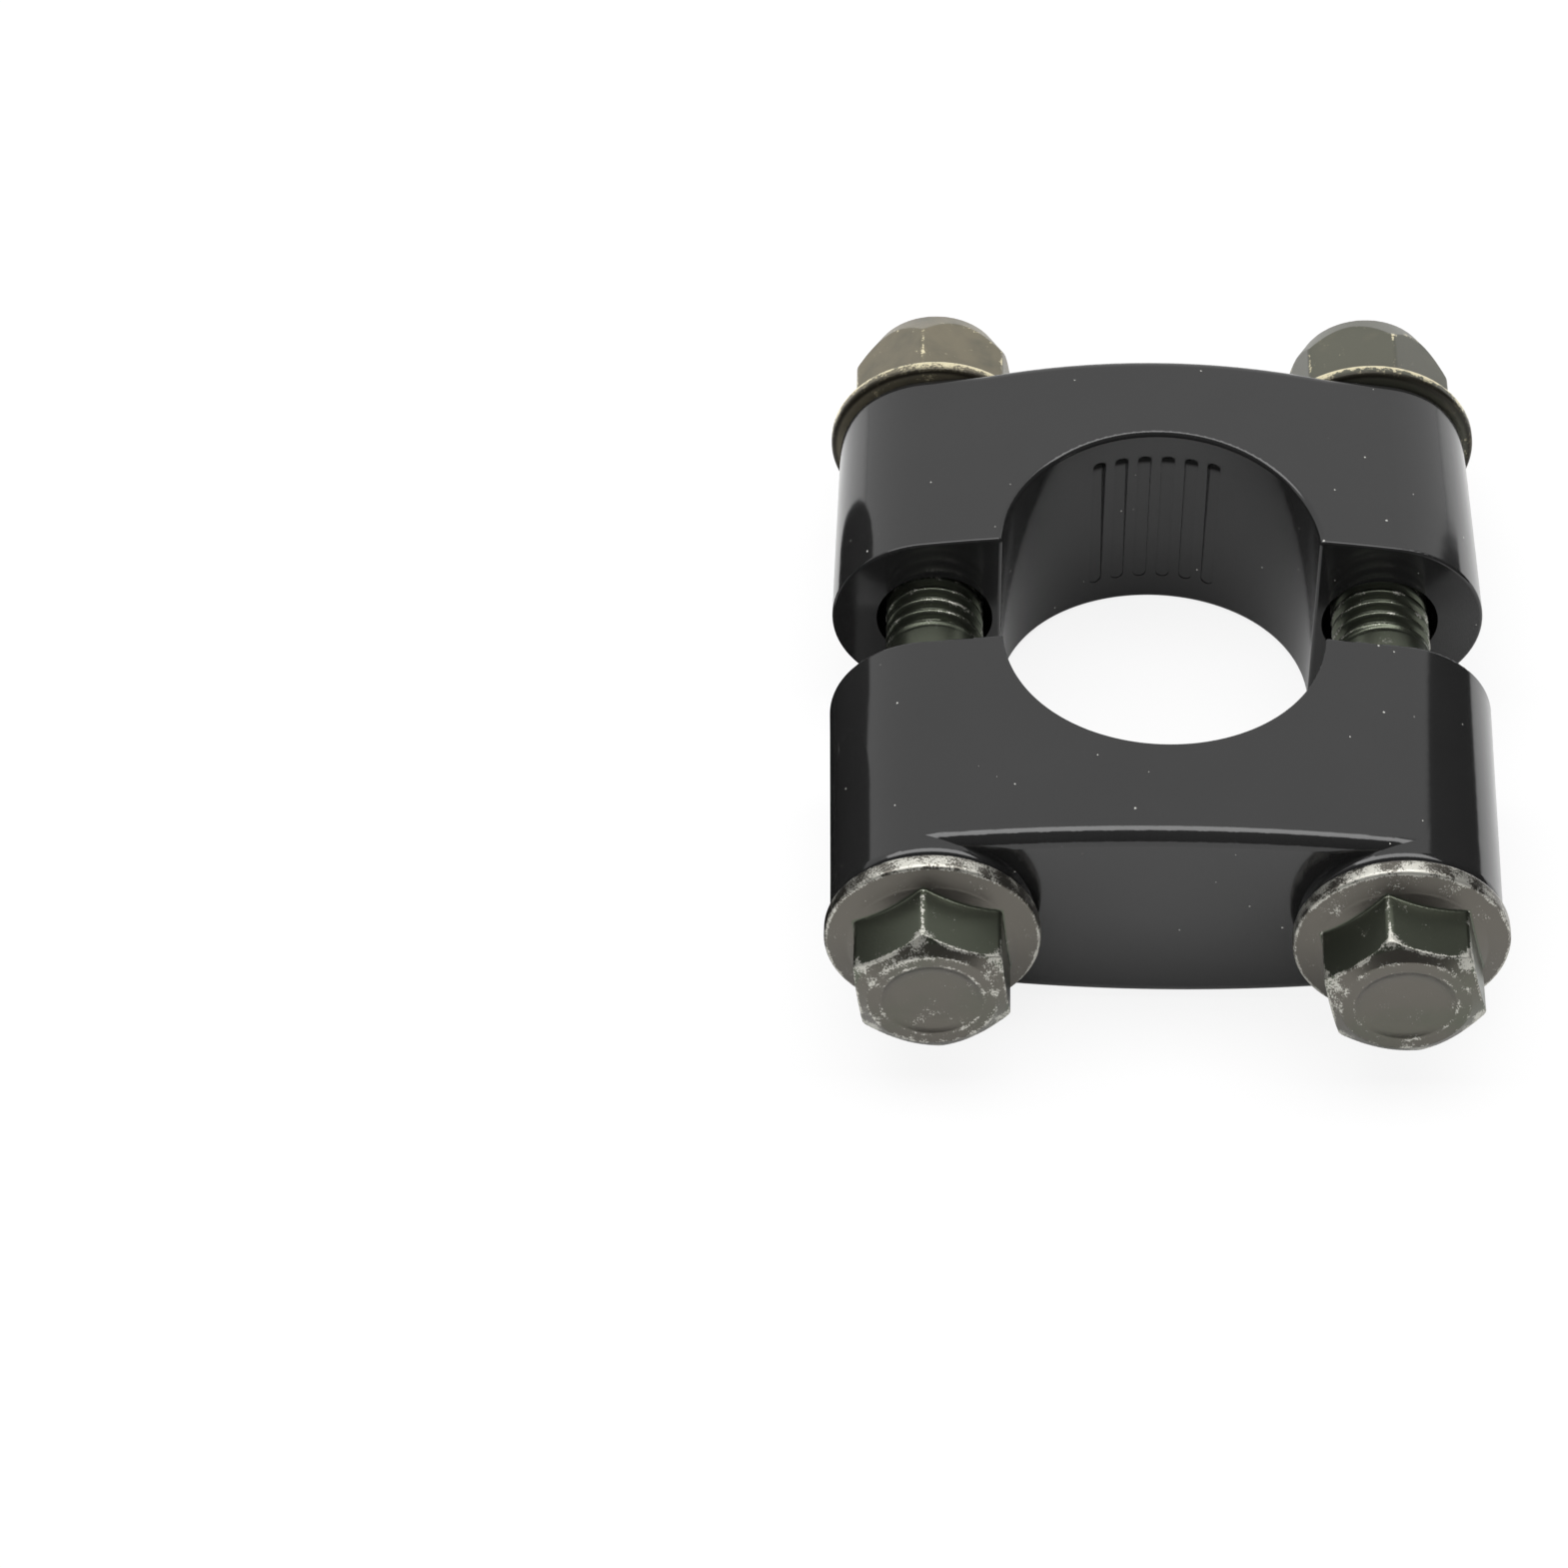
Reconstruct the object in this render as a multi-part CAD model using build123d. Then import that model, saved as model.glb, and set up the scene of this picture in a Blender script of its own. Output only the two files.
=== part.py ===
from build123d import *
import math
import os

# Two-piece clamp for a round handlebar: a base half and a cap half, drawn together by two
# hex flange bolts and flange nuts. It lies on its side: the bar runs along Z and the bolts
# along Y, with their heads at the low-Y end. The origin is the bar's axis in the base half's
# saddle, at mid thickness. All sizes are in millimetres, and angles in degrees.

# The pair of halves
bar_diameter = 25.4  # round bar that the two saddles hold
bolt_spacing = 36.0  # between the two bolt axes
open_gap = 10.6  # between the mating faces, as the clamp stands open
saddle_relief = 0.7  # the bar's axis stands this far off either half's mating face

# Outline of a half, seen along the bolts
crown_height = 9.65  # half the thickness midway between the bolts
lobe_radius = 8.3  # round end about each bolt axis
draft_angle = 1.1  # the sides close in from the mating face to the outer face
mating_edge_round = 0.25  # round the mating faces
bolt_hole_clearance = 0.75  # round the bolt, on the radius
base_rim_round = 0.1  # where the base half's saddle meets its sides
cap_rim_round = 0.4

# Outer side of the base half, with a raised pad under each bolt head
base_depth = 21.5  # mating face to outer face, midway between the bolts
base_bow = 0.15  # how far the outer face falls back at the bolt axes
base_edge_round = 1.2
pad_height = 1.3  # above the outer face, at the bolt axis
pad_edge_round = 1.1

# Outer side of the cap half, flat at its ends and crowned between them
cap_depth = 21.2
cap_crown_rise = 1.1  # the crown's middle above the flat ends
cap_crown_length = 28.0  # along the row of bolts
cap_edge_round = 1.0
crown_blend_radius = 8.0
spot_clearance = 0.3  # round the nut's flange, where its seat is cut into the crown

# Grip grooves in the saddles, each along the bar
groove_count = 6
groove_pitch_angle = 8.6
groove_width = 1.1
groove_length = 13.8
groove_depth = 0.42  # near the upper end, where the floor is deepest
groove_foot_depth = 0.06  # at the lower end
groove_ramp = 0.65  # slope that closes the upper end

# Bolts and nuts
bolt_diameter = 7.9  # over the thread crests
bolt_length = 65.0  # under the head
bolt_tip_chamfer = 0.8
thread_clearance = 0.05  # bolt in its nut, on the radius
hex_edge_round = 0.3
flange_rise = 0.45  # the flange's face rises this much from its rim to the hex corners
flange_shoulder = 0.5  # and this much more to the middle of the flats
rim_round = 0.35  # along both edges of the flange's rim

head_hex_width = 11.4  # across the flats
head_flange_radius = 8.35
head_rim_thickness = 1.5
head_height = 7.6
head_end_radius = 4.95  # flat end, inside the corner chamfer
head_chamfer_angle = 33.0
head_dish_radius = 3.8
head_dish_depth = 0.3
head_turns = {"left": 37.0, "right": 44.0}  # how far each hex stands turned about its bolt

nut_hex_width = 12.4
nut_flange_radius = 8.7
nut_rim_thickness = 1.2
nut_height = 10.15
nut_end_radius = 5.4
nut_chamfer_angle = 63.0
nut_countersink = 0.5
nut_turns = {"left": 39.5, "right": 14.0}

sides = {"left": -bolt_spacing / 2, "right": bolt_spacing / 2}
base_face_y = -saddle_relief
cap_face_y = base_face_y + open_gap
across_bolts = Location(Plane(origin=(0, 0, 0), x_dir=(1, 0, 0), z_dir=(0, 1, 0)))


def oval_outline():
    """Two round ends about the bolt axes, joined by shallow crowns tangent to both."""
    reach = bolt_spacing / 2
    rise = crown_height - lobe_radius
    crown_radius = (reach**2 + crown_height**2 - lobe_radius**2) / (2 * rise)
    crown_centre = crown_height - crown_radius
    stretch = crown_radius / (crown_radius - lobe_radius)
    join_x = reach * stretch
    join_y = crown_centre * (1 - stretch)
    end_x = reach + lobe_radius
    top = ThreePointArc((-join_x, join_y), (0, crown_height), (join_x, join_y))
    right = ThreePointArc((join_x, join_y), (end_x, 0), (join_x, -join_y))
    bottom = ThreePointArc((join_x, -join_y), (0, -crown_height), (-join_x, -join_y))
    left = ThreePointArc((-join_x, -join_y), (-end_x, 0), (-join_x, join_y))
    return make_face([top, right, bottom, left])


def base_plan():
    """The base half seen along the bar, from its mating face at 0 to its bowed outer face."""
    reach = bolt_spacing / 2
    side_x = reach + 2 * lobe_radius
    side_y = base_depth - base_bow * (side_x / reach) ** 2
    outer = ThreePointArc((-side_x, side_y), (0, base_depth), (side_x, side_y))
    rest = Polyline((side_x, side_y), (side_x, 0), (-side_x, 0), (-side_x, side_y))
    return make_face([outer, rest])


def cap_plan():
    """The cap half seen along the bar: flat at the seats, with a crown blended in between."""
    side_x = bolt_spacing / 2 + 2 * lobe_radius
    seat_y = cap_depth - cap_crown_rise
    crown_x = cap_crown_length / 2
    crown = ThreePointArc((-crown_x, seat_y), (0, cap_depth), (crown_x, seat_y))
    rest = Polyline(
        (crown_x, seat_y), (side_x, seat_y), (side_x, 0), (-side_x, 0), (-side_x, seat_y),
        (-crown_x, seat_y),
    )
    plan = make_face([crown, rest])
    crown_ends = plan.vertices().filter_by_position(Axis.X, -bolt_spacing / 2, bolt_spacing / 2)
    return fillet(crown_ends, crown_blend_radius)


def half_block(depth, plan, edge_round):
    """Drafted oval along +Y from y = 0, cut to the plan and rounded along its outer edge."""
    body = extrude(across_bolts * oval_outline(), depth + edge_round, taper=draft_angle)
    body = body & extrude(plan, 2 * crown_height, both=True)
    outer_edges = body.edges().filter_by_position(Axis.Y, depth - 2 * edge_round, depth)
    return fillet(outer_edges.filter_by(Axis.Z, reverse=True), edge_round)


def raised_pad(height):
    """Pad along the local Z, flush with the drafted lobe about the same axis."""
    end_radius = lobe_radius - height * math.tan(math.radians(draft_angle))
    pad = Cone(lobe_radius, end_radius, height, align=(Align.CENTER, Align.CENTER, Align.MIN))
    return fillet(pad.edges().sort_by(Axis.Z)[-1], pad_edge_round)


def saddle_grooves():
    """Round-ended grooves side by side on the saddle's floor, for a mating face at 0."""
    surface = bar_diameter / 2
    top = groove_length / 2
    # The floor deepens evenly from the foot, and slopes back up at the top
    floor_line = Polyline(
        (-top, surface - groove_depth), (-top, surface + groove_foot_depth),
        (top - groove_ramp, surface + groove_depth), (top, surface), (top, surface - groove_depth),
        close=True,
    )
    grooves = []
    for index in range(groove_count):
        angle = math.radians((index - (groove_count - 1) / 2) * groove_pitch_angle)
        across, along = math.sin(angle), math.cos(angle)
        lengthwise = Plane(origin=(0, -saddle_relief, 0), x_dir=(0, 0, 1), z_dir=(-along, across, 0))
        cut = extrude(lengthwise * make_face(floor_line), groove_width, both=True)
        facing = Plane(origin=(0, -saddle_relief, 0), x_dir=(0, 0, 1), z_dir=(across, along, 0))
        slot = extrude(facing * SlotOverall(groove_length, groove_width), 2 * surface)
        grooves.append(cut & slot)
    return grooves


def clamp_half(body, saddle_rim_round):
    """A half with its mating face at y = 0, cut out for the bar and bored for the bolts."""
    body = body - Pos(0, -saddle_relief, 0) * Cylinder(bar_diameter / 2, 4 * crown_height)
    saddle = body.faces().sort_by_distance((0, bar_diameter / 2 - saddle_relief, 0))[0]
    body = fillet(saddle.edges().filter_by(Axis.Z, reverse=True), saddle_rim_round)
    mating_faces = body.faces().filter_by(Axis.Y).sort_by(Axis.Y)[:2]
    body = fillet(mating_faces.edges(), mating_edge_round)

    hole = across_bolts * Cylinder(bolt_diameter / 2 + bolt_hole_clearance, 2 * bolt_length)
    for x in sides.values():
        body = body - Pos(x, 0, 0) * hole
    return body - saddle_grooves()


def hex_block(width, height, end_radius, chamfer_angle, turn):
    """Hex prism along the local Z, one corner turned from X, its end chamfered to end_radius."""
    hexagon = Rot(0, 0, turn) * RegularPolygon(width / 2, 6, major_radius=False, rotation=0)
    prism = extrude(hexagon, height)
    prism = fillet(prism.edges().filter_by(Axis.Z), hex_edge_round)
    corner_radius = width / math.sqrt(3)
    reach = corner_radius + rim_round
    drop = (reach - end_radius) * math.tan(math.radians(chamfer_angle))
    turned = Polyline(
        (0, 0), (reach, 0), (reach, height - drop), (end_radius, height), (0, height), close=True,
    )
    envelope = revolve(Plane.XZ * make_face(turned), Axis.Z)
    return prism & envelope


def flange(radius, rim_thickness, hex_width):
    """Round flange from 0 along the local Z, its face rising a little towards the hex."""
    corner_radius = hex_width / math.sqrt(3)
    corner_height = rim_thickness + flange_rise
    top = corner_height + flange_shoulder
    turned = Polyline(
        (0, 0), (radius, 0), (radius, rim_thickness), (corner_radius, corner_height),
        (hex_width / 2, top), (0, top), close=True,
    )
    disc = revolve(Plane.XZ * make_face(turned), Axis.Z)
    circles = disc.edges().filter_by(GeomType.CIRCLE)
    return fillet(circles.filter_by(lambda edge: edge.radius > radius - rim_round), rim_round)


def bolt(turn):
    """Hex flange bolt: seat at z = 0, head along the local +Z, shank along -Z."""
    head = flange(head_flange_radius, head_rim_thickness, head_hex_width)
    head = head + hex_block(head_hex_width, head_height, head_end_radius, head_chamfer_angle, turn)
    dish = Pos(0, 0, head_height) * Cylinder(head_dish_radius, 2 * head_dish_depth)
    head = head - dish
    shank = extrude(Circle(bolt_diameter / 2), -bolt_length)
    shank = chamfer(shank.faces().sort_by(Axis.Z)[0].edges(), bolt_tip_chamfer)
    return head + shank


def nut(turn):
    """Hex flange nut: bearing face at z = 0, hex along the local +Z, bored and countersunk."""
    inner = bolt_diameter / 2 + thread_clearance
    mouth = inner + nut_countersink
    body = flange(nut_flange_radius, nut_rim_thickness, nut_hex_width)
    body = body + hex_block(nut_hex_width, nut_height, nut_end_radius, nut_chamfer_angle, turn)
    bored = Polyline(
        (0, 0), (mouth, 0), (inner, nut_countersink), (inner, nut_height - nut_countersink),
        (mouth, nut_height), (0, nut_height), close=True,
    )
    return body - revolve(Plane.XZ * make_face(bored), Axis.Z)


base_block = half_block(base_depth, base_plan(), base_edge_round)
pad_reach = base_depth - base_bow + pad_height
for x in sides.values():
    base_block = base_block + Pos(x, 0, 0) * across_bolts * raised_pad(pad_reach)
cap_block = half_block(cap_depth, cap_plan(), cap_edge_round)
nut_seat_depth = cap_depth - cap_crown_rise
spot = Cylinder(
    nut_flange_radius + spot_clearance, cap_depth, align=(Align.CENTER, Align.CENTER, Align.MIN)
)
for x in sides.values():
    cap_block = cap_block - Pos(x, nut_seat_depth, 0) * across_bolts * spot

# The base half is turned half round, so that its depth runs along -Y
base_half = Pos(0, base_face_y, 0) * Rot(0, 0, 180) * clamp_half(base_block, base_rim_round)
cap_half = Pos(0, cap_face_y, 0) * clamp_half(cap_block, cap_rim_round)
head_seat_y = base_face_y - pad_reach
nut_seat_y = cap_face_y + nut_seat_depth

parts = {"base_half": base_half, "cap_half": cap_half}
for side, x in sides.items():
    # Seen from the bolt heads, X runs to the right and Z up
    head_place = Plane(origin=(x, head_seat_y, 0), x_dir=(1, 0, 0), z_dir=(0, -1, 0))
    nut_place = Plane(origin=(x, nut_seat_y, 0), x_dir=(-1, 0, 0), z_dir=(0, 1, 0))
    parts["bolt_" + side] = head_place * bolt(head_turns[side])
    parts["nut_" + side] = nut_place * nut(180 - nut_turns[side])

os.makedirs("parts", exist_ok=True)
for name, shape in parts.items():
    export_step(shape, "parts/" + name + ".step")
    print(name, "volume", round(shape.volume, 1), "mm3")
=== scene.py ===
import math
import bpy
from mathutils import Matrix, Vector


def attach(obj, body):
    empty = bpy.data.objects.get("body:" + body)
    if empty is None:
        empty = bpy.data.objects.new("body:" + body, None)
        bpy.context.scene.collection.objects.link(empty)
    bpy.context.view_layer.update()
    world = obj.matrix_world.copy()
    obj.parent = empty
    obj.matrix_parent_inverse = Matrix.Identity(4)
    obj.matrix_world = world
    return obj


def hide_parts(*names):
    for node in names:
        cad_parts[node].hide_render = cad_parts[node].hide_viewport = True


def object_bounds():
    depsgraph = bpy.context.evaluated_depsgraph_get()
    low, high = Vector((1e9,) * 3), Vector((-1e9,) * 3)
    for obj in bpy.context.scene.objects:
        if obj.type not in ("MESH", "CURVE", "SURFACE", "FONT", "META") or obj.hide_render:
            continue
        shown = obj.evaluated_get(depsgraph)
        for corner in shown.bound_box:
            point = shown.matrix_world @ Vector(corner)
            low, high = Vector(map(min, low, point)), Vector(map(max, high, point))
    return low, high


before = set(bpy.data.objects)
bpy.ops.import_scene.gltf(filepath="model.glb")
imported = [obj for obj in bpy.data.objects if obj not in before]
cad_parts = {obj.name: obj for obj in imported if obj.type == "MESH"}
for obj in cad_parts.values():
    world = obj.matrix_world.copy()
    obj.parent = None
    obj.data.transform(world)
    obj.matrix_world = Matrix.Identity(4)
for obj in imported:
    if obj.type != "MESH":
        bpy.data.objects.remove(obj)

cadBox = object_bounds()
mm = 0.001
turningSteps = 128
cutterSteps = 96
shankSteps = 64
ringsPerPitch = 10
hexEdgeSegments = 3
blockEdgeSegments = 12
print("frame loaded")

# The clamp lies on its side: the bar runs along Z, the bolts along Y, heads towards the camera


# Small tools for modelling

def deselectAll():
    for item in list(bpy.context.selected_objects):
        item.select_set(False)


def makeActive(item):
    deselectAll()
    item.select_set(True)
    bpy.context.view_layer.objects.active = item


def applyModifiers(item):
    makeActive(item)
    for modifier in list(item.modifiers):
        bpy.ops.object.modifier_apply(modifier=modifier.name)


def turned(name, rings, steps):
    # turned piece from (radius, height) rings in mm, bottom up about Z, closed at both ends
    deselectAll()
    radius, height = rings[0]
    bpy.ops.mesh.primitive_circle_add(
        vertices=steps, radius=radius * mm, location=(0, 0, height * mm), fill_type="NGON")
    piece = bpy.context.object
    piece.name = name
    bpy.ops.object.transform_apply(location=True, rotation=True, scale=True)
    bpy.ops.object.mode_set(mode="EDIT")
    bpy.ops.mesh.select_all(action="SELECT")
    for (radius, height), (nextRadius, nextHeight) in zip(rings, rings[1:]):
        bpy.ops.mesh.extrude_region_move(
            TRANSFORM_OT_translate={"value": (0, 0, (nextHeight - height) * mm)})
        growth = nextRadius / radius
        bpy.ops.transform.resize(
            value=(growth, growth, 1), center_override=(0, 0, nextHeight * mm))
    bpy.ops.mesh.select_all(action="SELECT")
    bpy.ops.mesh.remove_doubles(threshold=1e-7)
    bpy.ops.mesh.normals_make_consistent(inside=False)
    bpy.ops.object.mode_set(mode="OBJECT")
    return piece


def hexBar(name, width, height, turn, edgeRound):
    # hexagonal bar stock in mm, standing on z = 0 with one corner at the angle turn
    deselectAll()
    bpy.ops.mesh.primitive_cylinder_add(
        vertices=6, radius=width / math.sqrt(3) * mm, depth=height * mm,
        location=(0, 0, height / 2 * mm))
    bar = bpy.context.object
    bar.name = name
    bpy.ops.object.transform_apply(location=True, rotation=True, scale=True)
    corner = bar.data.vertices[0].co
    start = math.atan2(corner.y, corner.x)
    bar.data.transform(Matrix.Rotation(math.radians(turn) - start, 4, "Z"))
    bpy.ops.object.mode_set(mode="EDIT")
    bpy.ops.mesh.select_all(action="DESELECT")
    bpy.ops.object.mode_set(mode="OBJECT")
    for edge in bar.data.edges:
        a, b = (bar.data.vertices[i].co for i in edge.vertices)
        edge.select = abs(a.z - b.z) > 0.1 * mm  # the six standing edges
    bpy.ops.object.mode_set(mode="EDIT")
    bpy.ops.mesh.select_mode(type="EDGE")
    bpy.ops.mesh.bevel(offset=edgeRound * mm, segments=hexEdgeSegments, affect="EDGES")
    bpy.ops.object.mode_set(mode="OBJECT")
    return bar


def combine(piece, other, operation):
    # boolean with a second piece, which is used up
    modifier = piece.modifiers.new(operation.lower(), "BOOLEAN")
    modifier.operation = operation
    modifier.solver = "EXACT"
    modifier.object = other
    applyModifiers(piece)
    bpy.data.objects.remove(other)


def joined(name, pieces):
    makeActive(pieces[0])
    for item in pieces[1:]:
        item.select_set(True)
    bpy.ops.object.join()
    pieces[0].name = name
    return pieces[0]


def place(item, origin, xAxis, zAxis):
    # from a piece's own axes to its place in the frame, kept in the mesh
    x, z = Vector(xAxis), Vector(zAxis)
    y = z.cross(x)
    turn = Matrix((x, y, z)).transposed().to_4x4()
    item.data.transform(Matrix.Translation(Vector(origin) * mm) @ turn)
    item.data.update()


def smoothStep(value, low, high):
    share = min(1, max(0, (value - low) / (high - low)))
    return share * share * (3 - 2 * share)


def paintLayer(item, name, valueAt):
    # a value at each point, 0 to 1, kept as the piece's own attribute
    layer = item.data.attributes.new(name, "FLOAT", "POINT")
    for index, point in enumerate(item.data.vertices):
        layer.data[index].value = valueAt(point.co / mm)


# Materials

def linearColour(hexText):
    channels = [int(hexText[i:i + 2], 16) / 255 for i in (1, 3, 5)]
    linear = [c / 12.92 if c <= 0.04045 else ((c + 0.055) / 1.055) ** 2.4 for c in channels]
    return (*linear, 1.0)


def addNode(tree, kind, settings=None, links=None):
    # one node with its settings, and its inputs set or linked by name or number
    node = tree.nodes.new(kind)
    for name, value in (settings or {}).items():
        setattr(node, name, value)
    for name, value in (links or {}).items():
        if isinstance(value, bpy.types.NodeSocket):
            tree.links.new(value, node.inputs[name])
        else:
            node.inputs[name].default_value = value
    return node


def newMaterial(name):
    material = bpy.data.materials.new(name)
    material.use_nodes = True
    material.node_tree.nodes.clear()
    return material, material.node_tree


def assign(item, material):
    item.data.materials.clear()
    item.data.materials.append(material)


# the grooves' axis, reach and pockets in mm, their pitch and span in degrees, and how softly
# a pocket ends: in shares of a pitch, radians, mm and square metres
paintSettings = {
    "black": "#1b1b1b", "patch": "#212121", "cloudMm": 9.0, "roughness": 0.12, "gloss": 0.5,
    "peelMm": 1.6, "peelDepthMm": 0.005,
    "dust": "#a9a9a4", "dustSpacingMm": 1.3, "dustMm": 0.1, "dustShare": 0.45, "dustRoughness": 0.8,
    # the colour and gloss of the painted shade in the grooves' upper ends
    "pocketShade": "#0c0d0c", "pocketShadeGloss": 0.05,
    "grooveAxisY": 9.2, "groovePitch": 8.6, "grooveSpan": 25.8, "grooveReach": 13.5,
    "pocketHalfShare": 0.29, "pocketFoot": 5.75, "pocketTop": 6.75,
    "shareSoft": 0.06, "spanSoft": 0.002, "heightSoft": 0.25, "squareSoft": 1e-6,
}


def groovePocketShade(tree, spot, s):
    # painted shade: 1 in the deep upper ends of the cap's grip grooves, which are drawn darker and
    # with less gloss, as if unlit
    parts = addNode(tree, "ShaderNodeSeparateXYZ", None, {0: spot})
    sideways, upwards = parts.outputs[0], parts.outputs[2]
    outwards = addNode(tree, "ShaderNodeMath", {"operation": "SUBTRACT"}, {
        0: parts.outputs[1], 1: s["grooveAxisY"] * mm}).outputs[0]
    angle = addNode(tree, "ShaderNodeMath", {"operation": "ARCTAN2"}, {
        0: sideways, 1: outwards}).outputs[0]
    count = addNode(tree, "ShaderNodeMath", {"operation": "DIVIDE"}, {
        0: angle, 1: math.radians(s["groovePitch"])}).outputs[0]
    share = addNode(tree, "ShaderNodeMath", {"operation": "FRACT"}, {0: count}).outputs[0]
    square = addNode(tree, "ShaderNodeMath", {"operation": "MULTIPLY"}, {
        0: sideways, 1: sideways}).outputs[0]
    square = addNode(tree, "ShaderNodeMath", {"operation": "MULTIPLY_ADD"}, {
        0: outwards, 1: outwards, 2: square}).outputs[0]
    span = math.radians(s["grooveSpan"])
    reach = (s["grooveReach"] * mm) ** 2
    inside = []
    for value, low, high, soft in (
            (share, 0.5 - s["pocketHalfShare"], 0.5 + s["pocketHalfShare"], s["shareSoft"]),
            (angle, -span, span, s["spanSoft"]),
            (upwards, s["pocketFoot"] * mm, s["pocketTop"] * mm, s["heightSoft"] * mm),
            (square, -reach, reach, s["squareSoft"])):
        for edge, before, after in ((low, 0.0, 1.0), (high, 1.0, 0.0)):
            inside.append(addNode(tree, "ShaderNodeMapRange", {"interpolation_type": "SMOOTHSTEP"}, {
                "Value": value, "From Min": edge - soft, "From Max": edge + soft,
                "To Min": before, "To Max": after}).outputs[0])
    mask = inside[0]
    for other in inside[1:]:
        mask = addNode(tree, "ShaderNodeMath", {"operation": "MULTIPLY"}, {
            0: mask, 1: other}).outputs[0]
    return mask


def makePaint():
    # Gloss black enamel sprayed on a sand casting: a deep black that mirrors the room in
    # soft, slightly rippled edges, with specks of dust caught in it, and painted shade in the upper
    # ends of the grip grooves
    material, tree = newMaterial("glossBlackEnamelOnCasting")
    s = paintSettings
    spot = addNode(tree, "ShaderNodeTexCoord").outputs["Object"]
    cloud = addNode(tree, "ShaderNodeTexNoise", None, {
        "Vector": spot, "Scale": 1 / (s["cloudMm"] * mm), "Detail": 3.0}).outputs["Fac"]
    body = addNode(tree, "ShaderNodeMix", {"data_type": "RGBA"}, {
        0: cloud, 6: linearColour(s["black"]), 7: linearColour(s["patch"])}).outputs[2]
    # painted shade in the grooves' upper ends: a near-black colour and low gloss laid over the paint
    pocketShade = groovePocketShade(tree, spot, s)
    body = addNode(tree, "ShaderNodeMix", {"data_type": "RGBA"}, {
        0: pocketShade, 6: body, 7: linearColour(s["pocketShade"])}).outputs[2]
    dots = addNode(tree, "ShaderNodeTexVoronoi", None, {
        "Vector": spot, "Scale": 1 / (s["dustSpacingMm"] * mm), "Randomness": 1.0})
    size = addNode(tree, "ShaderNodeSeparateColor", None, {"Color": dots.outputs["Color"]})
    reach = addNode(tree, "ShaderNodeMapRange", None, {
        "Value": size.outputs["Red"], "From Min": 1 - s["dustShare"], "From Max": 1.0,
        "To Min": 0.0, "To Max": s["dustMm"] / s["dustSpacingMm"]}).outputs[0]
    speck = addNode(tree, "ShaderNodeMath", {"operation": "LESS_THAN"}, {
        0: dots.outputs["Distance"], 1: reach}).outputs[0]
    colour = addNode(tree, "ShaderNodeMix", {"data_type": "RGBA"}, {
        0: speck, 6: body, 7: linearColour(s["dust"])}).outputs[2]
    peel = addNode(tree, "ShaderNodeTexNoise", None, {
        "Vector": spot, "Scale": 1 / (s["peelMm"] * mm), "Detail": 1.0}).outputs["Fac"]
    bump = addNode(tree, "ShaderNodeBump", None, {
        "Height": peel, "Strength": 1.0, "Distance": s["peelDepthMm"] * mm}).outputs[0]
    rough = addNode(tree, "ShaderNodeMapRange", None, {
        "Value": speck, "To Min": s["roughness"], "To Max": s["dustRoughness"]}).outputs[0]
    gloss = addNode(tree, "ShaderNodeMapRange", None, {
        "Value": pocketShade, "To Min": s["gloss"], "To Max": s["pocketShadeGloss"]}).outputs[0]
    shader = addNode(tree, "ShaderNodeBsdfPrincipled", None, {
        "Base Color": colour, "Roughness": rough, "IOR": 1.5, "Normal": bump,
        "Specular IOR Level": gloss})
    addNode(tree, "ShaderNodeOutputMaterial", None, {"Surface": shader.outputs[0]})
    return material


boltFinish = {
    "name": "oliveChromateOnSteel", "film": "#53574c", "stain": "#5e5b55", "worn": "#b9b8b0",
    "metallic": 0.92, "roughness": 0.3, "wornRoughness": 0.5, "stainMm": 5.0,
    "patchMm": 1.5, "speckMm": 0.16,
}

nutFinish = {
    # on the nuts the worn colour also serves as the painted highlight along the rim
    "name": "brownOliveChromateOnSteel", "film": "#55554b", "stain": "#716b5b", "worn": "#cfc6a6",
    # the near-black brown below is painted shade on the lower half of the nuts' rims
    "rimShadeColour": "#1a160e", "metallic": 0.6, "roughness": 0.42, "wornRoughness": 0.36, "stainMm": 2.6,
    "patchMm": 1.4, "speckMm": 0.24,
}

# shared by both finishes: where the stain and the wear set in, and how the noises add to them
chromate = {
    "stainFrom": 0.55, "stainTo": 1.15, "speckShare": 1.7, "patchShare": 1.6,
    "wornFrom": 0.4, "wornTo": 0.68, "bumpMm": 0.02, "bumpStrength": 0.5,
}


def centredNoise(tree, noise, share):
    # noise about its middle, so that it adds as much as it takes away
    return addNode(tree, "ShaderNodeMath", {"operation": "MULTIPLY_ADD"}, {
        0: noise, 1: share, 2: -share / 2}).outputs[0]


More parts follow.
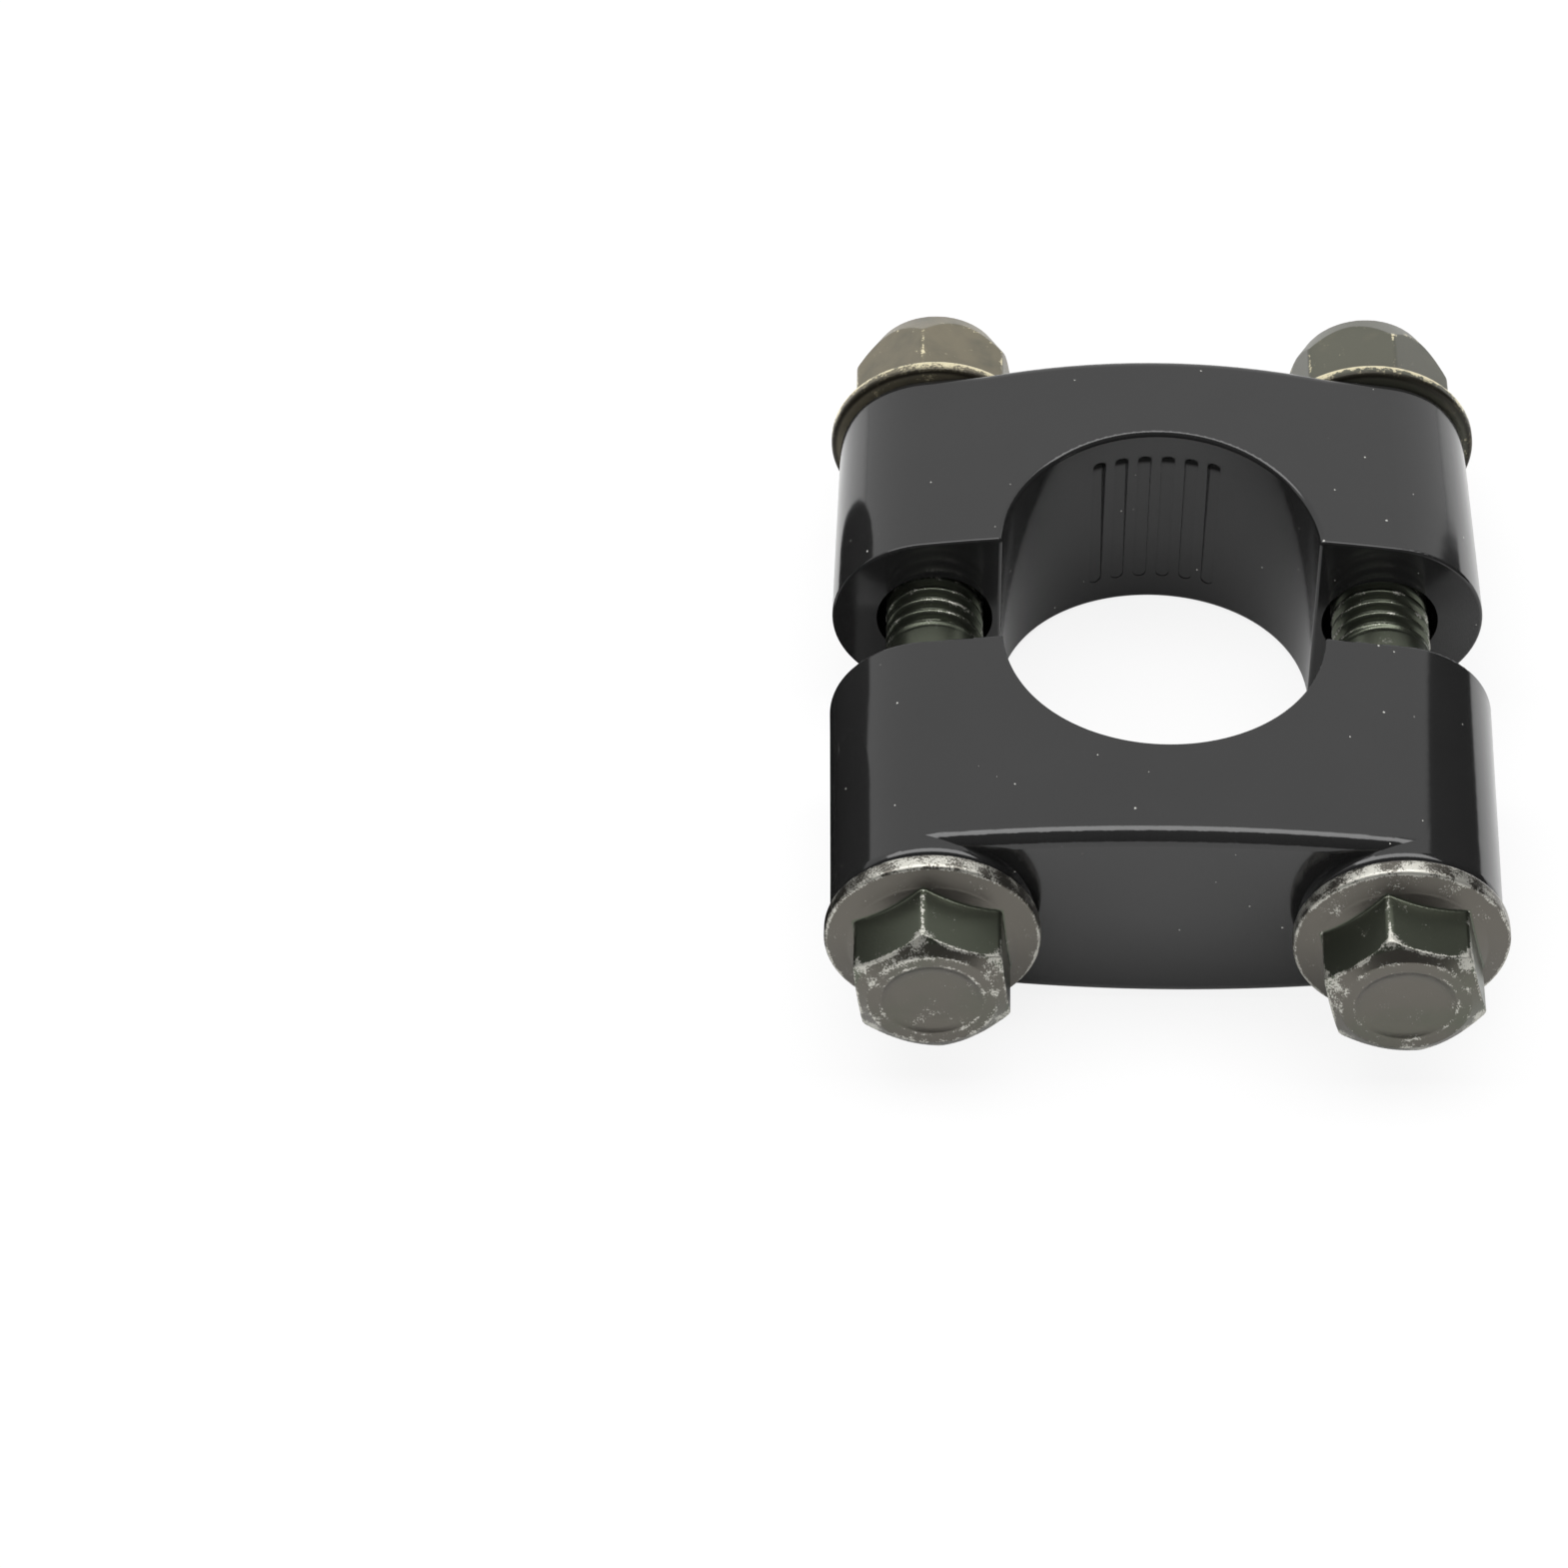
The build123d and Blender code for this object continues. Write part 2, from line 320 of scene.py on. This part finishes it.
def makeChromate(s):
    # Olive chromate over zinc-plated forged steel: a dull film, part metal and part dye, clouded
    # where the bath stained it, and rubbed through to zinc in broken lines along the edges. On the
    # nuts a painted highlight runs with the wear along the rim's upper edge, and painted shade
    # darkens the rim's lower half.
    material, tree = newMaterial(s["name"])
    spot = addNode(tree, "ShaderNodeTexCoord").outputs["Object"]
    wear = addNode(tree, "ShaderNodeAttribute", {"attribute_name": "wear"}).outputs["Fac"]
    cloud = addNode(tree, "ShaderNodeTexNoise", None, {
        "Vector": spot, "Scale": 1 / (s["stainMm"] * mm), "Detail": 3.0,
        "Roughness": 0.5}).outputs["Fac"]
    stain = addNode(tree, "ShaderNodeAttribute", {"attribute_name": "stain"}).outputs["Fac"]
    clouded = addNode(tree, "ShaderNodeMath", {"operation": "ADD"}, {0: cloud, 1: stain}).outputs[0]
    stained = addNode(tree, "ShaderNodeMapRange", {"interpolation_type": "SMOOTHSTEP"}, {
        "Value": clouded, "From Min": chromate["stainFrom"],
        "From Max": chromate["stainTo"]}).outputs[0]
    film = addNode(tree, "ShaderNodeMix", {"data_type": "RGBA"}, {
        0: stained, 6: linearColour(s["film"]), 7: linearColour(s["stain"])}).outputs[2]
    speck = addNode(tree, "ShaderNodeTexNoise", None, {
        "Vector": spot, "Scale": 1 / (s["speckMm"] * mm), "Detail": 4.0,
        "Roughness": 0.65}).outputs["Fac"]
    patch = addNode(tree, "ShaderNodeTexNoise", None, {
        "Vector": spot, "Scale": 1 / (s["patchMm"] * mm), "Detail": 2.0}).outputs["Fac"]
    fine = centredNoise(tree, speck, chromate["speckShare"])
    coarse = centredNoise(tree, patch, chromate["patchShare"])
    broken = addNode(tree, "ShaderNodeMath", {"operation": "ADD"}, {0: fine, 1: coarse}).outputs[0]
    total = addNode(tree, "ShaderNodeMath", {"operation": "ADD"}, {0: wear, 1: broken}).outputs[0]
    worn = addNode(tree, "ShaderNodeMapRange", {"interpolation_type": "SMOOTHSTEP"}, {
        "Value": total, "From Min": chromate["wornFrom"],
        "From Max": chromate["wornTo"]}).outputs[0]
    colour = addNode(tree, "ShaderNodeMix", {"data_type": "RGBA"}, {
        0: worn, 6: film, 7: linearColour(s["worn"])}).outputs[2]
    # painted shade: the nuts' rims darkened towards the bearing face
    if "rimShadeColour" in s:
        rimShade = addNode(tree, "ShaderNodeAttribute", {"attribute_name": "rimShade"}).outputs["Fac"]
        colour = addNode(tree, "ShaderNodeMix", {"data_type": "RGBA"}, {
            0: rimShade, 6: colour, 7: linearColour(s["rimShadeColour"])}).outputs[2]
    rough = addNode(tree, "ShaderNodeMapRange", None, {
        "Value": worn, "To Min": s["roughness"], "To Max": s["wornRoughness"]}).outputs[0]
    bump = addNode(tree, "ShaderNodeBump", None, {
        "Height": speck, "Strength": chromate["bumpStrength"],
        "Distance": chromate["bumpMm"] * mm}).outputs[0]
    shader = addNode(tree, "ShaderNodeBsdfPrincipled", None, {
        "Base Color": colour, "Metallic": s["metallic"], "Roughness": rough, "Normal": bump})
    addNode(tree, "ShaderNodeOutputMaterial", None, {"Surface": shader.outputs[0]})
    return material


blackPaint = makePaint()
boltMetal = makeChromate(boltFinish)
nutMetal = makeChromate(nutFinish)
print("materials made")


# The two castings keep their solids and take the paint

for node in ("base_half", "cap_half"):
    assign(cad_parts[node], blackPaint)


# Hex flange bolts, in mm: seat at z = 0, head up, shank down

boltSettings = {
    "hexWidth": 11.4, "edgeRound": 0.3, "turns": {"left": 37.0, "right": 44.0},
    "flangeRadius": 8.35, "rimThickness": 1.5, "rise": 0.45, "shoulder": 0.5, "rimRound": 0.35,
    "headHeight": 7.6, "endRadius": 4.95, "chamferAngle": 33.0, "forgeVoxel": 0.12,
    "dishRadius": 3.9, "dishDepth": 0.42,
    "dishProfile": (
        (0.58, 0), (0.7, 0.07), (0.8, 0.22), (0.88, 0.45), (0.94, 0.7), (1, 1), (1.04, 1.25)),
    "shankRadius": 3.93, "length": 65.0, "tipInset": 0.3, "tipChamfer": 0.8, "headOverlap": 0.6,
    "threadStart": 28.4, "runOut": 1.4, "pitch": 1.25, "threadDepth": 0.61,
    "flank": (0.44, 0.06), "crest": (0.25, 0.0), "threadTurns": {"left": 0.0, "right": 0.2},
    "smoothAngle": 50.0,
    "seats": {"left": (-18.0, -23.35, 0.0), "right": (18.0, -23.35, 0.0)},
    # the most wear or stain, and the distances in mm where it begins and is full
    "wear": {
        "rim": (0.5, 0.3, 0.08), "edge": (0.6, 0.34, 0.12), "scallop": (0.56, 0.3, 0.1),
        "peak": (0.62, 1.9, 0.5), "ring": (0.38, 0.34, 0.06), "lip": (0.34, 0.26, 0.06),
        "corner": (1.0, 0.22, 0.06), "surface": (1.0, 0.4, 0.15), "face": (0.2, 0.0, 0.3),
        "cone": (1.0, 0.5, 0.1), "offHex": (1.0, 0.05, 0.3), "endStain": (0.5, 0.3, 0.1)},
    "edgeIn": 0.1, "edgeDown": 0.1, "lipOut": 0.1, "flangeLeast": 0.08, "hexLeast": 0.04,
    "cornerShares": (0.32, 0.7), "cornerFrom": 3.5, "crestShare": 0.34, "shankLeast": 0.04,
}


def hexReach(x, y, width, turn):
    # how near a point is to a flat and to a corner of the hexagon
    angle = math.degrees(math.atan2(y, x)) - turn
    fromCorner = (angle + 30) % 60 - 30
    radius = math.hypot(x, y)
    across = radius * math.cos(math.radians(30 - abs(fromCorner)))
    along = radius * math.sin(math.radians(abs(fromCorner)))
    return across, along


cutterMargin = 1.0


def flangedHex(s, height, turn, name):
    # turned flange and chamfered hex, joined in one
    corner = s["hexWidth"] / math.sqrt(3)
    inset = s["rimRound"]
    quarter = [math.radians(angle) for angle in (0, 30, 60, 90)]
    rim = [(s["flangeRadius"] - inset * (1 - math.sin(a)),
            inset * (1 - math.cos(a))) for a in quarter]
    rim += [(s["flangeRadius"] - inset * (1 - math.cos(a)),
             s["rimThickness"] - inset * (1 - math.sin(a))) for a in quarter]
    top = s["rimThickness"] + s["rise"]
    hub = [(corner, top), (s["hexWidth"] / 2, top + s["shoulder"])]
    flange = turned(name, rim + hub, turningSteps)
    bar = hexBar("hex", s["hexWidth"], height, turn, s["edgeRound"])
    wide = corner + cutterMargin
    drop = (wide - s["endRadius"]) * math.tan(math.radians(s["chamferAngle"]))
    envelope = turned("envelope", [
        (wide, -cutterMargin), (wide, height - drop), (s["endRadius"], height)], turningSteps)
    combine(bar, envelope, "INTERSECT")
    combine(flange, bar, "UNION")
    return flange


def forge(item, voxel):
    # one skin with edges as soft as the voxels
    makeActive(item)
    item.data.remesh_voxel_size = voxel * mm
    bpy.ops.object.voxel_remesh()
    bpy.ops.object.shade_smooth()


def near(s, name, distance):
    # the wear of that name at a distance from its edge
    most, begins, full = s["wear"][name]
    return most * smoothStep(distance, begins, full)


def rimWearAndHighlight(s, radius, height):
    # a flange rubbed on its round rim, most along the edge of its face; on the nuts that edge line
    # is also a painted highlight
    edge = math.hypot(
        s["flangeRadius"] - s["edgeIn"] - radius, s["rimThickness"] - s["edgeDown"] - height)
    return max(s["flangeLeast"], near(s, "rim", s["flangeRadius"] - radius), near(s, "edge", edge))


def onFlange(s, point):
    top = s["rimThickness"] + s["rise"]
    return point.z < top and math.hypot(point.x, point.y) > s["hexWidth"] / math.sqrt(3)


def coneHeight(s, height, radius):
    # height of the chamfer's cone at a radius
    return height - (radius - s["endRadius"]) * math.tan(math.radians(s["chamferAngle"]))


def headWear(turn, point):
    s = boltSettings
    radius = math.hypot(point.x, point.y)
    if onFlange(s, point):
        return rimWearAndHighlight(s, radius, point.z)
    across, along = hexReach(point.x, point.y, s["hexWidth"], turn)
    inwards = s["hexWidth"] / 2 - across
    cone = coneHeight(s, s["headHeight"], radius)
    below = cone - point.z
    drop = s["headHeight"] - point.z
    low, high = s["cornerShares"]
    corner = low + (high - low) * smoothStep(point.z, s["cornerFrom"], cone)
    corner *= near(s, "corner", along) * near(s, "surface", inwards)
    face = near(s, "face", radius - s["dishRadius"]) * near(s, "cone", below)
    return max(
        s["hexLeast"], corner, face,
        near(s, "scallop", math.hypot(inwards, below)),
        near(s, "peak", along + abs(below) + inwards),
        near(s, "ring", math.hypot(radius - s["endRadius"], drop)),
        near(s, "lip", math.hypot(radius - s["dishRadius"] - s["lipOut"], drop)))


def headStain(turn, point):
    # stained all over the flange, half as much on the end, and not on the flats
    s = boltSettings
    across, along = hexReach(point.x, point.y, s["hexWidth"], turn)
    dishFloor = s["headHeight"] - s["dishDepth"]
    return max(
        near(s, "offHex", across - s["hexWidth"] / 2), near(s, "endStain", dishFloor - point.z))


def makeHead(turn):
    s = boltSettings
    head = flangedHex(s, s["headHeight"], turn, "head")
    dishFloor = s["headHeight"] - s["dishDepth"]
    dish = turned("dish", [
        (s["dishRadius"] * radius, dishFloor + s["dishDepth"] * rise)
        for radius, rise in s["dishProfile"]], cutterSteps)
    combine(head, dish, "DIFFERENCE")
    forge(head, s["forgeVoxel"])
    paintLayer(head, "wear", lambda point: headWear(turn, point))
    paintLayer(head, "stain", lambda point: headStain(turn, point))
    return head


def makeShank(threadTurn):
    # plain shank, then a rolled thread that fades in over the run-out
    s = boltSettings
    step = s["pitch"] / ringsPerPitch
    rings = [(s["shankRadius"] - s["tipInset"], -s["length"])]
    height = -s["length"] + step
    while height < -s["threadStart"]:
        rings.append((s["shankRadius"], height))
        height += step
    rings += [(s["shankRadius"], -s["threadStart"]), (s["shankRadius"], s["headOverlap"])]
    shank = turned("shank", rings, shankSteps)
    wearLayer = shank.data.attributes.new("wear", "FLOAT", "POINT")
    for index, point in enumerate(shank.data.vertices):
        x, y, z = point.co / mm
        phase = (math.atan2(y, x) / (2 * math.pi) + z / s["pitch"] + threadTurn) % 1.0
        groove = smoothStep(abs(phase - 0.5), *s["flank"])
        fadeIn = smoothStep(-z, s["threadStart"], s["threadStart"] + s["runOut"])
        tip = max(0, s["tipChamfer"] - (z + s["length"]))
        target = s["shankRadius"] - max(s["threadDepth"] * groove * fadeIn, tip)
        growth = target / math.hypot(x, y)
        point.co.x *= growth
        point.co.y *= growth
        crest = smoothStep(groove, *s["crest"]) * fadeIn
        wearLayer.data[index].value = s["crestShare"] * crest + s["shankLeast"]
    makeActive(shank)
    bpy.ops.object.shade_smooth_by_angle(angle=math.radians(s["smoothAngle"]))
    return shank


for side in ("left", "right"):
    head = makeHead(boltSettings["turns"][side])
    shank = makeShank(boltSettings["threadTurns"][side])
    bolt = joined("flangeBolt_" + side, [head, shank])
    place(bolt, boltSettings["seats"][side], (1, 0, 0), (0, -1, 0))
    assign(bolt, boltMetal)
    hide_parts("bolt_" + side)
    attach(bolt, side + "_bolt")
    print("bolt", side, "made", len(bolt.data.polygons))


# Flange nuts, in mm: bearing face at z = 0, hex up

nutSettings = {
    "hexWidth": 12.4, "edgeRound": 0.3, "turns": {"left": 39.5, "right": 14.0},
    "flangeRadius": 8.7, "rimThickness": 1.2, "rise": 0.45, "shoulder": 0.5, "rimRound": 0.35,
    "height": 10.15, "endRadius": 5.4, "chamferAngle": 63.0, "forgeVoxel": 0.13,
    "boreRadius": 4.0, "countersink": 0.5,
    "seats": {"left": (-18.0, 30.0, 0.0), "right": (18.0, 30.0, 0.0)},
    "wear": {
        # on the nuts the edge line is wear and also a painted highlight along the rim's upper
        # rounding
        "rim": (0.4, 0.3, 0.08), "edge": (0.8, 0.34, 0.12), "scallop": (0.2, 0.4, 0.1),
        "corner": (0.36, 0.2, 0.05), "surface": (1.0, 0.4, 0.15),
        # the last two ramps place the painted shade on the rim's lower half
        "rimShadeHeight": (0.9, 0.55, 0.25), "rimShadeDepth": (1.0, 0.6, 0.3)},
    "edgeIn": 0.1, "edgeDown": 0.3, "flangeLeast": 0.08, "stains": {"left": 0.5, "right": 0.0},
}


def nutWearAndHighlight(turn, point):
    s = nutSettings
    radius = math.hypot(point.x, point.y)
    if onFlange(s, point):
        return rimWearAndHighlight(s, radius, point.z)
    across, along = hexReach(point.x, point.y, s["hexWidth"], turn)
    inwards = s["hexWidth"] / 2 - across
    below = coneHeight(s, s["height"], radius) - point.z
    return max(
        near(s, "corner", along) * near(s, "surface", inwards),
        near(s, "scallop", math.hypot(inwards, below)))


def nutRimShade(point):
    # painted shade on the rim's lower half beside the casting, drawn dark brown
    s = nutSettings
    inwards = s["flangeRadius"] - math.hypot(point.x, point.y)
    return near(s, "rimShadeHeight", point.z) * near(s, "rimShadeDepth", inwards)


def makeNut(turn, stain):
    s = nutSettings
    nut = flangedHex(s, s["height"], turn, "nut")
    mouth = s["boreRadius"] + s["countersink"]
    past = s["countersink"]
    bore = turned("bore", [
        (mouth + past, -past), (mouth, 0), (s["boreRadius"], s["countersink"]),
        (s["boreRadius"], s["height"] - s["countersink"]), (mouth, s["height"]),
        (mouth + past, s["height"] + past)], cutterSteps)
    combine(nut, bore, "DIFFERENCE")
    forge(nut, s["forgeVoxel"])
    # the nuts' wear layer also carries the painted highlight along the rim
    paintLayer(nut, "wear", lambda point: nutWearAndHighlight(turn, point))
    paintLayer(nut, "stain", lambda point: stain)
    # painted shade on the rim's lower half
    paintLayer(nut, "rimShade", nutRimShade)
    return nut


for side in ("left", "right"):
    nut = makeNut(180 - nutSettings["turns"][side], nutSettings["stains"][side])
    nut.name = "flangeNut_" + side
    place(nut, nutSettings["seats"][side], (-1, 0, 0), (0, 1, 0))
    assign(nut, nutMetal)
    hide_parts("nut_" + side)
    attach(nut, "cap")
    print("nut", side, "made", len(nut.data.polygons))


# Floor, room and lamps

room = {
    "floor": "#e6e6e6", "floorGlow": 0.86, "floorSize": 3.0, "floorGap": 0.02,
    "frontLevel": 0.09, "wallEdge": 0.06,
}


def makeFloor():
    # white sweep that takes the clamp's shadow, lifted towards white for the eye alone
    deselectAll()
    under = cadBox[0].z - room["floorGap"] * mm
    bpy.ops.mesh.primitive_plane_add(size=room["floorSize"], location=(0, 0, under))
    floor = bpy.context.object
    floor.name = "floor"
    material, tree = newMaterial("whitePaperSweep")
    seen = addNode(tree, "ShaderNodeLightPath").outputs["Is Camera Ray"]
    share = addNode(tree, "ShaderNodeMath", {"operation": "MULTIPLY"}, {
        0: seen, 1: room["floorGlow"]}).outputs[0]
    paper = addNode(tree, "ShaderNodeBsdfDiffuse", None, {"Color": linearColour(room["floor"])})
    glow = addNode(tree, "ShaderNodeEmission", None, {"Color": (1, 1, 1, 1), "Strength": 1.0})
    mix = addNode(tree, "ShaderNodeMixShader", None, {
        0: share, 1: paper.outputs[0], 2: glow.outputs[0]})
    addNode(tree, "ShaderNodeOutputMaterial", None, {"Surface": mix.outputs[0]})
    assign(floor, material)


def makeRoom():
    # white wall and ceiling behind the clamp, and a dark room on the camera's side
    world = bpy.data.worlds.new("studio")
    bpy.context.scene.world = world
    world.use_nodes = True
    tree = world.node_tree
    tree.nodes.clear()
    way = addNode(tree, "ShaderNodeTexCoord").outputs["Generated"]
    back = addNode(tree, "ShaderNodeSeparateXYZ", None, {0: way}).outputs[1]
    level = addNode(tree, "ShaderNodeMapRange", {"interpolation_type": "SMOOTHSTEP"}, {
        "Value": back, "From Min": -room["wallEdge"], "From Max": room["wallEdge"],
        "To Min": room["frontLevel"], "To Max": 1.0}).outputs[0]
    camera = addNode(tree, "ShaderNodeLightPath").outputs["Is Camera Ray"]
    strength = addNode(tree, "ShaderNodeMath", {"operation": "MAXIMUM"}, {
        0: level, 1: camera}).outputs[0]
    sky = addNode(tree, "ShaderNodeBackground", None, {
        "Color": (1, 1, 1, 1), "Strength": strength})
    addNode(tree, "ShaderNodeOutputWorld", None, {"Surface": sky.outputs[0]})


def reflectionOnly(item, material):
    # something beside the clamp that is seen only in its gloss
    assign(item, material)
    item.visible_camera = False
    item.visible_diffuse = False
    item.visible_shadow = False


def makeMatte(name, colour):
    # flat card without any gloss
    material, tree = newMaterial(name)
    card = addNode(tree, "ShaderNodeBsdfDiffuse", None, {"Color": linearColour(colour)})
    addNode(tree, "ShaderNodeOutputMaterial", None, {"Surface": card.outputs[0]})
    return material


# What stands round the clamp in its gloss, in mm: the other clamp of the pair on its left, a dark
# wall on the right, and painted shadow on the floor on the left and in the gap, as dark cards
dark = {
    "card": "#0d0d0d", "wall": "#191919", "gapShadowGrey": "#8a8a8a",
    "wallEnds": ((80.0, 74.0), (240.0, -120.0)), "wallHeight": 200.0,
    "neighbourX": (-84.5, -31.7), "neighbourY": ((-24.0, -0.7), (9.9, 26.5)),
    "neighbourHeight": 21.0, "neighbourRound": 8.3, "smoothAngle": 30.0,
    "leftFloorShadow": ((-40.0, -24.0), (-24.5, 17.0)), "gapFloorShadow": ((-24.5, -0.7), (-20.0, 9.9)),
    "floorLift": 0.02,
}


def makeNeighbour(lowY, highY, material):
    # one half of the other clamp, a block with its ends rounded about the bolts
    lowX, highX = dark["neighbourX"]
    deselectAll()
    bpy.ops.mesh.primitive_cube_add(size=mm)
    block = bpy.context.object
    block.name = "neighbour"
    block.data.transform(Matrix.Diagonal((highX - lowX, highY - lowY, dark["neighbourHeight"], 1)))
    middle = Vector(((lowX + highX) / 2, (lowY + highY) / 2, 0))
    block.data.transform(Matrix.Translation(middle * mm))
    bpy.ops.object.mode_set(mode="EDIT")
    bpy.ops.mesh.select_all(action="DESELECT")
    bpy.ops.object.mode_set(mode="OBJECT")
    for edge in block.data.edges:
        a, b = (block.data.vertices[i].co for i in edge.vertices)
        edge.select = abs(a.y - b.y) > mm
    bpy.ops.object.mode_set(mode="EDIT")
    bpy.ops.mesh.select_mode(type="EDGE")
    bpy.ops.mesh.bevel(
        offset=dark["neighbourRound"] * mm, segments=blockEdgeSegments, affect="EDGES")
    bpy.ops.object.mode_set(mode="OBJECT")
    bpy.ops.object.shade_smooth_by_angle(angle=math.radians(dark["smoothAngle"]))
    reflectionOnly(block, material)


def makeCard(name, corners, material):
    deselectAll()
    bpy.ops.mesh.primitive_plane_add(size=mm)
    card = bpy.context.object
    card.name = name
    for point, corner in zip(card.data.vertices, corners):
        point.co = Vector(corner) * mm
    reflectionOnly(card, material)


def makeDarkThings():
    black = makeMatte("matteBlackCard", dark["card"])
    for lowY, highY in dark["neighbourY"]:
        makeNeighbour(lowY, highY, black)

    foot = cadBox[0].z / mm
    top = foot + dark["wallHeight"]
    (nearX, nearY), (farX, farY) = dark["wallEnds"]
    makeCard("rightCard", (
        (nearX, nearY, foot), (farX, farY, foot), (nearX, nearY, top), (farX, farY, top)),
        makeMatte("darkGreyCard", dark["wall"]))

    # painted shadow: dark cards on the floor, seen only in gloss, where the floor lies in the
    # clamps' shade
    z = foot + dark["floorLift"]
    for name, material in (
            ("leftFloorShadow", black), ("gapFloorShadow", makeMatte("shadedPaper", dark["gapShadowGrey"]))):
        (lowX, lowY), (highX, highY) = dark[name]
        makeCard(name, (
            (lowX, lowY, z), (highX, lowY, z), (lowX, highY, z), (highX, highY, z)), material)


lamps = {
    "overheadSoftbox": {
        "spot": (0.0, 0.114, 0.75), "size": (1.6, 0.41), "watts": 8.4, "inGloss": True},
    "frontFill": {
        "spot": (-0.3, -0.9, 0.7), "size": (0.6, 0.5), "watts": 6.0, "inGloss": False},
}
lampTarget = (0.0, 0.005, 0.0)


def addLamp(name, settings):
    lamp = bpy.data.lights.new(name, "AREA")
    lamp.shape = "RECTANGLE"
    lamp.size, lamp.size_y = settings["size"]
    lamp.energy = settings["watts"]
    holder = bpy.data.objects.new(name, lamp)
    bpy.context.scene.collection.objects.link(holder)
    holder.location = settings["spot"]
    beam = Vector(lampTarget) - Vector(settings["spot"])
    holder.rotation_mode = "QUATERNION"
    holder.rotation_quaternion = beam.to_track_quat("-Z", "Y")
    holder.visible_camera = False
    holder.visible_glossy = settings["inGloss"]


makeFloor()
makeRoom()
makeDarkThings()
for name, settings in lamps.items():
    addLamp(name, settings)
bpy.context.scene.view_settings.view_transform = "Standard"
print("room made")


# Camera, at the photograph's angle and framing

cameraView = {
    "elevation": 47.146, "azimuth": 1.886, "roll": -0.764, "distance": 0.4475,
    "focalPixels": 5573.67, "imagePixels": 1569, "aim": (0.0, 0.0046, 0.0),
    "aimPixel": (1159.03, 667.71), "sensorWidth": 36.0, "clip": (0.01, 10.0),
}


def makeCamera():
    v = cameraView
    rise, swing, roll = (math.radians(v[key]) for key in ("elevation", "azimuth", "roll"))
    level = math.cos(rise)
    back = Vector((math.sin(swing) * level, -math.cos(swing) * level, math.sin(rise)))
    sideways = (-back).cross(Vector((0, 0, 1))).normalized()
    upright = sideways.cross(-back)
    right = sideways * math.cos(roll) + upright * math.sin(roll)
    up = upright * math.cos(roll) - sideways * math.sin(roll)
    middle = v["imagePixels"] / 2
    metresPerPixel = v["distance"] / v["focalPixels"]
    shiftRight = (v["aimPixel"][0] - middle) * metresPerPixel
    shiftUp = (middle - v["aimPixel"][1]) * metresPerPixel
    spot = Vector(v["aim"]) + back * v["distance"] - right * shiftRight - up * shiftUp
    data = bpy.data.cameras.new("photoCamera")
    data.sensor_width = v["sensorWidth"]
    data.lens = v["focalPixels"] / v["imagePixels"] * data.sensor_width
    data.clip_start, data.clip_end = v["clip"]
    camera = bpy.data.objects.new("photoCamera", data)
    bpy.context.scene.collection.objects.link(camera)
    camera.matrix_world = Matrix.Translation(spot) @ Matrix((right, up, back)).transposed().to_4x4()
    bpy.context.scene.camera = camera


makeCamera()
print("camera set")
